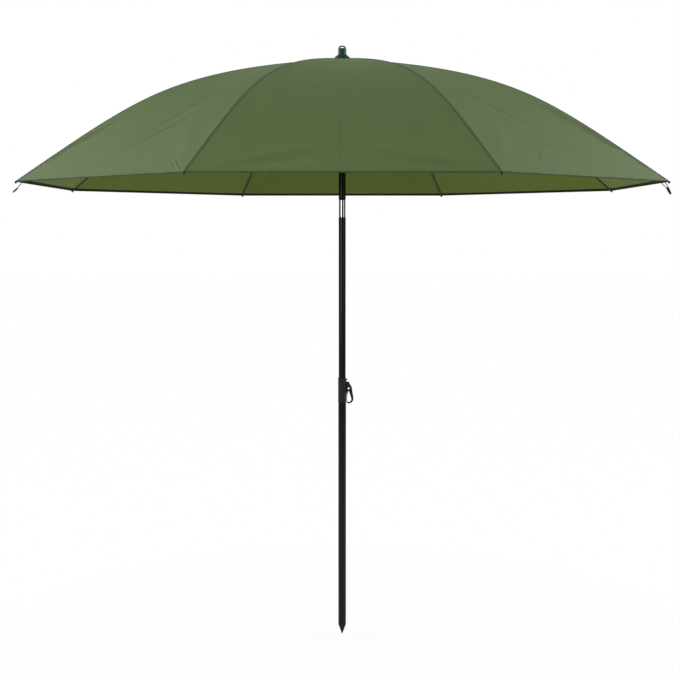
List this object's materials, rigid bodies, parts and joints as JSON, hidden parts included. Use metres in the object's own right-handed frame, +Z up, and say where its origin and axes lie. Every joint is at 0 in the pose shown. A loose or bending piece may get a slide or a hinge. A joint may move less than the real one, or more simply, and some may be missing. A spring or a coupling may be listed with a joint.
{
  "type": "fishing umbrella",
  "caption": "Fishing umbrella with an olive cloth canopy on sprung ribs, a tilting pole that telescopes and swivels, a flip-lever clamp and a ground spike.",
  "frame": {"origin": "the point of the ground spike, on the pole's axis", "axes": "+Z up along the pole, -Y the front, where a flat panel of the canopy faces the viewer and towards which the head tilts; the clamp's lever is at +X"},
  "size_m": [2.1182, 2.1128, 2.1054],
  "materials": {
    "black_tube": "semi-gloss black powder coat",
    "bright_plate": "bright nickel plate",
    "black_plastic": "black moulded plastic",
    "green_plastic": "dark green moulded plastic",
    "black_fibre": "black pultruded glass fibre",
    "canopy_cloth": "coated olive nylon",
    "cord_yarn": "braided black cord"
  },
  "bodies": {
    "base": {"lower_tube": "black_tube", "ground_spike": "black_tube", "clamp_collar": "black_plastic", "collar_screw": "bright_plate", "clamp_pin": "bright_plate"},
    "clamp_lever": {"clamp_lever": "black_plastic"},
    "bush": {"mast_bush": "black_plastic"},
    "mast": {"mast_tube": "black_tube", "tilt_sleeve": "bright_plate", "tilt_spring": "bright_plate"},
    "tilt_rod": {"tilt_rod": "bright_plate", "tilt_pin": "bright_plate"},
    "upper": {"tilt_knuckle": "black_tube", "upper_tube": "black_tube", "crown": "black_plastic", "finial": "green_plastic"},
    "catch": {"runner_catch": "bright_plate"},
    "runner": {"runner": "black_plastic"},
    "rib_1": {"rib_1": "black_fibre", "rib_tip_1": "black_plastic"},
    "rib_2": {"rib_2": "black_fibre", "rib_tip_2": "black_plastic"},
    "rib_3": {"rib_3": "black_fibre", "rib_tip_3": "black_plastic"},
    "rib_4": {"rib_4": "black_fibre", "rib_tip_4": "black_plastic"},
    "rib_5": {"rib_5": "black_fibre", "rib_tip_5": "black_plastic", "guy_cord_left": "cord_yarn"},
    "rib_6": {"rib_6": "black_fibre", "rib_tip_6": "black_plastic"},
    "rib_7": {"rib_7": "black_fibre", "rib_tip_7": "black_plastic"},
    "rib_8": {"rib_8": "black_fibre", "rib_tip_8": "black_plastic", "guy_cord_right": "cord_yarn"},
    "stretcher_1": {"stretcher_1": "black_tube"},
    "stretcher_2": {"stretcher_2": "black_tube"},
    "stretcher_3": {"stretcher_3": "black_tube"},
    "stretcher_4": {"stretcher_4": "black_tube"},
    "stretcher_5": {"stretcher_5": "black_tube"},
    "stretcher_6": {"stretcher_6": "black_tube"},
    "stretcher_7": {"stretcher_7": "black_tube"},
    "stretcher_8": {"stretcher_8": "black_tube"},
    "panel_1_left": {"canopy_panel_1_left": "canopy_cloth"},
    "panel_1_right": {"canopy_panel_1_right": "canopy_cloth"},
    "panel_2_left": {"canopy_panel_2_left": "canopy_cloth"},
    "panel_2_right": {"canopy_panel_2_right": "canopy_cloth"},
    "panel_3_left": {"canopy_panel_3_left": "canopy_cloth"},
    "panel_3_right": {"canopy_panel_3_right": "canopy_cloth"},
    "panel_4_left": {"canopy_panel_4_left": "canopy_cloth"},
    "panel_4_right": {"canopy_panel_4_right": "canopy_cloth"},
    "panel_5_left": {"canopy_panel_5_left": "canopy_cloth"},
    "panel_5_right": {"canopy_panel_5_right": "canopy_cloth"},
    "panel_6_left": {"canopy_panel_6_left": "canopy_cloth"},
    "panel_6_right": {"canopy_panel_6_right": "canopy_cloth"},
    "panel_7_left": {"canopy_panel_7_left": "canopy_cloth"},
    "panel_7_right": {"canopy_panel_7_right": "canopy_cloth"},
    "panel_8_left": {"canopy_panel_8_left": "canopy_cloth"},
    "panel_8_right": {"canopy_panel_8_right": "canopy_cloth"}
  },
  "joints": [
    {"name": "clamp_flip", "type": "hinge", "parent": "base", "child": "clamp_lever", "pos_m": [0.0212, 0, 0.9173], "axis": [0, -1, 0], "range_deg": [0, 120]},
    {"name": "telescope", "type": "slide", "parent": "base", "child": "bush", "axis": [0, 0, -1], "range_m": [-0.15, 0.45]},
    {"name": "swivel", "type": "hinge", "parent": "bush", "child": "mast", "pos_m": [0, 0, 0.6463], "axis": [0, 0, 1], "continuous": true},
    {"name": "tilt_lift", "type": "slide", "parent": "mast", "child": "tilt_rod", "axis": [0, 0, 1], "range_m": [0, 0.03]},
    {"name": "tilt", "type": "hinge", "parent": "tilt_rod", "child": "upper", "pos_m": [0, 0, 1.5603], "axis": [1, 0, 0], "range_deg": [0, 45], "deforming": ["tilt_spring"]},
    {"name": "fold", "type": "slide", "parent": "upper", "child": "runner", "axis": [0, 0, 1], "range_m": [-0.73308, 0], "deforming": ["runner_catch", "canopy_panel_1_left", "canopy_panel_1_right", "canopy_panel_2_left", "canopy_panel_2_right", "canopy_panel_3_left", "canopy_panel_3_right", "canopy_panel_4_left", "canopy_panel_4_right", "canopy_panel_5_left", "canopy_panel_5_right", "canopy_panel_6_left", "canopy_panel_6_right", "canopy_panel_7_left", "canopy_panel_7_right", "canopy_panel_8_left", "canopy_panel_8_right"]},
    {"name": "catch_press", "type": "slide", "parent": "upper", "child": "catch", "axis": [0, 1, 0], "range_m": [0, 0.0033], "stiffness_N_per_m": 600},
    {"name": "rib_1_hinge", "type": "hinge", "parent": "upper", "child": "rib_1", "pos_m": [0.02032, 0.00842, 2.0563], "axis": [-0.3827, 0.9239, 0], "range_deg": [0, 65.7]},
    {"name": "stretcher_1_hinge", "type": "hinge", "parent": "runner", "child": "stretcher_1", "pos_m": [0.03326, 0.01378, 1.7363], "axis": [-0.3827, 0.9239, 0], "range_deg": [-65.5, 0]},
    {"name": "panel_1_left_hinge", "type": "hinge", "parent": "rib_1", "child": "panel_1_left", "pos_m": [0.02032, 0.00842, 2.0563], "axis": [0.8577, 0.3553, -0.3716], "range_deg": [0, 72.63]},
    {"name": "panel_1_right_hinge", "type": "hinge", "parent": "rib_1", "child": "panel_1_right", "pos_m": [0.02032, 0.00842, 2.0563], "axis": [0.8577, 0.3553, -0.3716], "range_deg": [-72.63, 0]},
    {"name": "rib_2_hinge", "type": "hinge", "parent": "upper", "child": "rib_2", "pos_m": [0.00842, 0.02032, 2.0563], "axis": [-0.9239, 0.3827, 0], "range_deg": [0, 65.7]},
    {"name": "stretcher_2_hinge", "type": "hinge", "parent": "runner", "child": "stretcher_2", "pos_m": [0.01378, 0.03326, 1.7363], "axis": [-0.9239, 0.3827, 0], "range_deg": [-65.5, 0]},
    {"name": "panel_2_left_hinge", "type": "hinge", "parent": "rib_2", "child": "panel_2_left", "pos_m": [0.00842, 0.02032, 2.0563], "axis": [0.3553, 0.8577, -0.3716], "range_deg": [0, 72.63]},
    {"name": "panel_2_right_hinge", "type": "hinge", "parent": "rib_2", "child": "panel_2_right", "pos_m": [0.00842, 0.02032, 2.0563], "axis": [0.3553, 0.8577, -0.3716], "range_deg": [-72.63, 0]},
    {"name": "rib_3_hinge", "type": "hinge", "parent": "upper", "child": "rib_3", "pos_m": [-0.00842, 0.02032, 2.0563], "axis": [-0.9239, -0.3827, 0], "range_deg": [0, 65.7]},
    {"name": "stretcher_3_hinge", "type": "hinge", "parent": "runner", "child": "stretcher_3", "pos_m": [-0.01378, 0.03326, 1.7363], "axis": [-0.9239, -0.3827, 0], "range_deg": [-65.5, 0]},
    {"name": "panel_3_left_hinge", "type": "hinge", "parent": "rib_3", "child": "panel_3_left", "pos_m": [-0.00842, 0.02032, 2.0563], "axis": [-0.3553, 0.8577, -0.3716], "range_deg": [0, 72.63]},
    {"name": "panel_3_right_hinge", "type": "hinge", "parent": "rib_3", "child": "panel_3_right", "pos_m": [-0.00842, 0.02032, 2.0563], "axis": [-0.3553, 0.8577, -0.3716], "range_deg": [-72.63, 0]},
    {"name": "rib_4_hinge", "type": "hinge", "parent": "upper", "child": "rib_4", "pos_m": [-0.02032, 0.00842, 2.0563], "axis": [-0.3827, -0.9239, 0], "range_deg": [0, 65.7]},
    {"name": "stretcher_4_hinge", "type": "hinge", "parent": "runner", "child": "stretcher_4", "pos_m": [-0.03326, 0.01378, 1.7363], "axis": [-0.3827, -0.9239, 0], "range_deg": [-65.5, 0]},
    {"name": "panel_4_left_hinge", "type": "hinge", "parent": "rib_4", "child": "panel_4_left", "pos_m": [-0.02032, 0.00842, 2.0563], "axis": [-0.8577, 0.3553, -0.3716], "range_deg": [0, 72.63]},
    {"name": "panel_4_right_hinge", "type": "hinge", "parent": "rib_4", "child": "panel_4_right", "pos_m": [-0.02032, 0.00842, 2.0563], "axis": [-0.8577, 0.3553, -0.3716], "range_deg": [-72.63, 0]},
    {"name": "rib_5_hinge", "type": "hinge", "parent": "upper", "child": "rib_5", "pos_m": [-0.02032, -0.00842, 2.0563], "axis": [0.3827, -0.9239, 0], "range_deg": [0, 65.7]},
    {"name": "stretcher_5_hinge", "type": "hinge", "parent": "runner", "child": "stretcher_5", "pos_m": [-0.03326, -0.01378, 1.7363], "axis": [0.3827, -0.9239, 0], "range_deg": [-65.5, 0]},
    {"name": "panel_5_left_hinge", "type": "hinge", "parent": "rib_5", "child": "panel_5_left", "pos_m": [-0.02032, -0.00842, 2.0563], "axis": [-0.8577, -0.3553, -0.3716], "range_deg": [0, 72.63]},
    {"name": "panel_5_right_hinge", "type": "hinge", "parent": "rib_5", "child": "panel_5_right", "pos_m": [-0.02032, -0.00842, 2.0563], "axis": [-0.8577, -0.3553, -0.3716], "range_deg": [-72.63, 0]},
    {"name": "rib_6_hinge", "type": "hinge", "parent": "upper", "child": "rib_6", "pos_m": [-0.00842, -0.02032, 2.0563], "axis": [0.9239, -0.3827, 0], "range_deg": [0, 65.7]},
    {"name": "stretcher_6_hinge", "type": "hinge", "parent": "runner", "child": "stretcher_6", "pos_m": [-0.01378, -0.03326, 1.7363], "axis": [0.9239, -0.3827, 0], "range_deg": [-65.5, 0]},
    {"name": "panel_6_left_hinge", "type": "hinge", "parent": "rib_6", "child": "panel_6_left", "pos_m": [-0.00842, -0.02032, 2.0563], "axis": [-0.3553, -0.8577, -0.3716], "range_deg": [0, 72.63]},
    {"name": "panel_6_right_hinge", "type": "hinge", "parent": "rib_6", "child": "panel_6_right", "pos_m": [-0.00842, -0.02032, 2.0563], "axis": [-0.3553, -0.8577, -0.3716], "range_deg": [-72.63, 0]},
    {"name": "rib_7_hinge", "type": "hinge", "parent": "upper", "child": "rib_7", "pos_m": [0.00842, -0.02032, 2.0563], "axis": [0.9239, 0.3827, 0], "range_deg": [0, 65.7]},
    {"name": "stretcher_7_hinge", "type": "hinge", "parent": "runner", "child": "stretcher_7", "pos_m": [0.01378, -0.03326, 1.7363], "axis": [0.9239, 0.3827, 0], "range_deg": [-65.5, 0]},
    {"name": "panel_7_left_hinge", "type": "hinge", "parent": "rib_7", "child": "panel_7_left", "pos_m": [0.00842, -0.02032, 2.0563], "axis": [0.3553, -0.8577, -0.3716], "range_deg": [0, 72.63]},
    {"name": "panel_7_right_hinge", "type": "hinge", "parent": "rib_7", "child": "panel_7_right", "pos_m": [0.00842, -0.02032, 2.0563], "axis": [0.3553, -0.8577, -0.3716], "range_deg": [-72.63, 0]},
    {"name": "rib_8_hinge", "type": "hinge", "parent": "upper", "child": "rib_8", "pos_m": [0.02032, -0.00842, 2.0563], "axis": [0.3827, 0.9239, 0], "range_deg": [0, 65.7]},
    {"name": "stretcher_8_hinge", "type": "hinge", "parent": "runner", "child": "stretcher_8", "pos_m": [0.03326, -0.01378, 1.7363], "axis": [0.3827, 0.9239, 0], "range_deg": [-65.5, 0]},
    {"name": "panel_8_left_hinge", "type": "hinge", "parent": "rib_8", "child": "panel_8_left", "pos_m": [0.02032, -0.00842, 2.0563], "axis": [0.8577, -0.3553, -0.3716], "range_deg": [0, 72.63]},
    {"name": "panel_8_right_hinge", "type": "hinge", "parent": "rib_8", "child": "panel_8_right", "pos_m": [0.02032, -0.00842, 2.0563], "axis": [0.8577, -0.3553, -0.3716], "range_deg": [-72.63, 0]}
  ],
  "couplings": [
    {"joint": "tilt_lift", "follows": "tilt", "m_per_rad": 0.038197},
    {"joint": "rib_1_hinge", "follows": "fold", "rad_per_m": -1.5639},
    {"joint": "stretcher_1_hinge", "follows": "fold", "rad_per_m": 1.5592},
    {"joint": "panel_1_left_hinge", "follows": "fold", "rad_per_m": -1.7289},
    {"joint": "panel_1_right_hinge", "follows": "fold", "rad_per_m": 1.7289},
    {"joint": "rib_2_hinge", "follows": "fold", "rad_per_m": -1.5639},
    {"joint": "stretcher_2_hinge", "follows": "fold", "rad_per_m": 1.5592},
    {"joint": "panel_2_left_hinge", "follows": "fold", "rad_per_m": -1.7289},
    {"joint": "panel_2_right_hinge", "follows": "fold", "rad_per_m": 1.7289},
    {"joint": "rib_3_hinge", "follows": "fold", "rad_per_m": -1.5639},
    {"joint": "stretcher_3_hinge", "follows": "fold", "rad_per_m": 1.5592},
    {"joint": "panel_3_left_hinge", "follows": "fold", "rad_per_m": -1.7289},
    {"joint": "panel_3_right_hinge", "follows": "fold", "rad_per_m": 1.7289},
    {"joint": "rib_4_hinge", "follows": "fold", "rad_per_m": -1.5639},
    {"joint": "stretcher_4_hinge", "follows": "fold", "rad_per_m": 1.5592},
    {"joint": "panel_4_left_hinge", "follows": "fold", "rad_per_m": -1.7289},
    {"joint": "panel_4_right_hinge", "follows": "fold", "rad_per_m": 1.7289},
    {"joint": "rib_5_hinge", "follows": "fold", "rad_per_m": -1.5639},
    {"joint": "stretcher_5_hinge", "follows": "fold", "rad_per_m": 1.5592},
    {"joint": "panel_5_left_hinge", "follows": "fold", "rad_per_m": -1.7289},
    {"joint": "panel_5_right_hinge", "follows": "fold", "rad_per_m": 1.7289},
    {"joint": "rib_6_hinge", "follows": "fold", "rad_per_m": -1.5639},
    {"joint": "stretcher_6_hinge", "follows": "fold", "rad_per_m": 1.5592},
    {"joint": "panel_6_left_hinge", "follows": "fold", "rad_per_m": -1.7289},
    {"joint": "panel_6_right_hinge", "follows": "fold", "rad_per_m": 1.7289},
    {"joint": "rib_7_hinge", "follows": "fold", "rad_per_m": -1.5639},
    {"joint": "stretcher_7_hinge", "follows": "fold", "rad_per_m": 1.5592},
    {"joint": "panel_7_left_hinge", "follows": "fold", "rad_per_m": -1.7289},
    {"joint": "panel_7_right_hinge", "follows": "fold", "rad_per_m": 1.7289},
    {"joint": "rib_8_hinge", "follows": "fold", "rad_per_m": -1.5639},
    {"joint": "stretcher_8_hinge", "follows": "fold", "rad_per_m": 1.5592},
    {"joint": "panel_8_left_hinge", "follows": "fold", "rad_per_m": -1.7289},
    {"joint": "panel_8_right_hinge", "follows": "fold", "rad_per_m": 1.7289}
  ]
}
